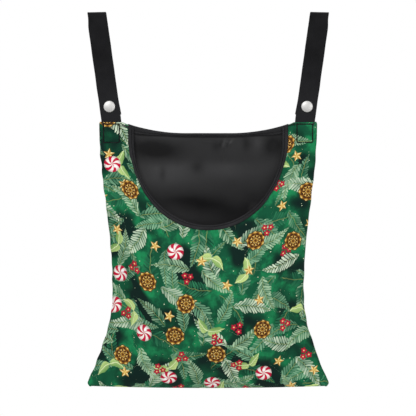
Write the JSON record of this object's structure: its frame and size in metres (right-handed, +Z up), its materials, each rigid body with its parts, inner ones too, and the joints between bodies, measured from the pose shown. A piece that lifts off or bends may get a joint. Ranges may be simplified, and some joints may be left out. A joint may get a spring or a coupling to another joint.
{
  "type": "hanging peg bag",
  "caption": "Hanging cloth peg bag: a lined, printed pocket with a scooped mouth, and webbing straps that loop over a line and close with press studs.",
  "frame": {"origin": "on the axis of the clothes line, midway between the two strap loops", "axes": "+X to the right as seen from the front, along the line; +Y from the front to the back; +Z up"},
  "size_m": [0.3046, 0.0821, 0.4726],
  "materials": {
    "printed_cloth": "matt plain-weave polyester with a green all-over print",
    "lining_cloth": "black lining cloth with a faint sheen",
    "binding_tape": "charcoal folded tape, stitched",
    "webbing": "black woven polypropylene webbing",
    "thread": "black sewing thread",
    "nickel": "satin nickel-plated steel"
  },
  "bodies": {
    "bag": {"front_panel": "printed_cloth", "front_lining": "lining_cloth", "back_panel": "printed_cloth", "back_lining": "lining_cloth", "mouth_binding": "binding_tape", "rim_binding": "binding_tape", "left_strap_sewn_end": "webbing", "left_box_stitch": "thread", "right_strap_sewn_end": "webbing", "right_box_stitch": "thread"},
    "left_strap": {"left_strap_bend": "webbing", "left_strap_loop": "webbing", "left_snap_cap": "nickel", "left_snap_socket": "nickel"},
    "left_tail": {"left_strap_tail": "webbing", "left_snap_stud": "nickel", "left_snap_post": "nickel"},
    "right_strap": {"right_strap_bend": "webbing", "right_strap_loop": "webbing", "right_snap_cap": "nickel", "right_snap_socket": "nickel"},
    "right_tail": {"right_strap_tail": "webbing", "right_snap_stud": "nickel", "right_snap_post": "nickel"}
  },
  "joints": [
    {"name": "left_strap_fold", "type": "hinge", "parent": "bag", "child": "left_strap", "pos_m": [-0.1206, -0.0049, -0.13], "axis": [1, 0, 0], "range_deg": [-95, 130], "deforming": ["left_strap_bend"]},
    {"name": "left_snap_open", "type": "hinge", "parent": "left_strap", "child": "left_tail", "pos_m": [-0.13913, 0.0058, -0.00015], "axis": [0.9903, 0, 0.1392], "range_deg": [0, 170]},
    {"name": "right_strap_fold", "type": "hinge", "parent": "bag", "child": "right_strap", "pos_m": [0.1206, -0.0049, -0.13], "axis": [1, 0, 0], "range_deg": [-95, 130], "deforming": ["right_strap_bend"]},
    {"name": "right_snap_open", "type": "hinge", "parent": "right_strap", "child": "right_tail", "pos_m": [0.13913, 0.0058, -0.00015], "axis": [0.9903, 0, -0.1392], "range_deg": [0, 170]}
  ]
}
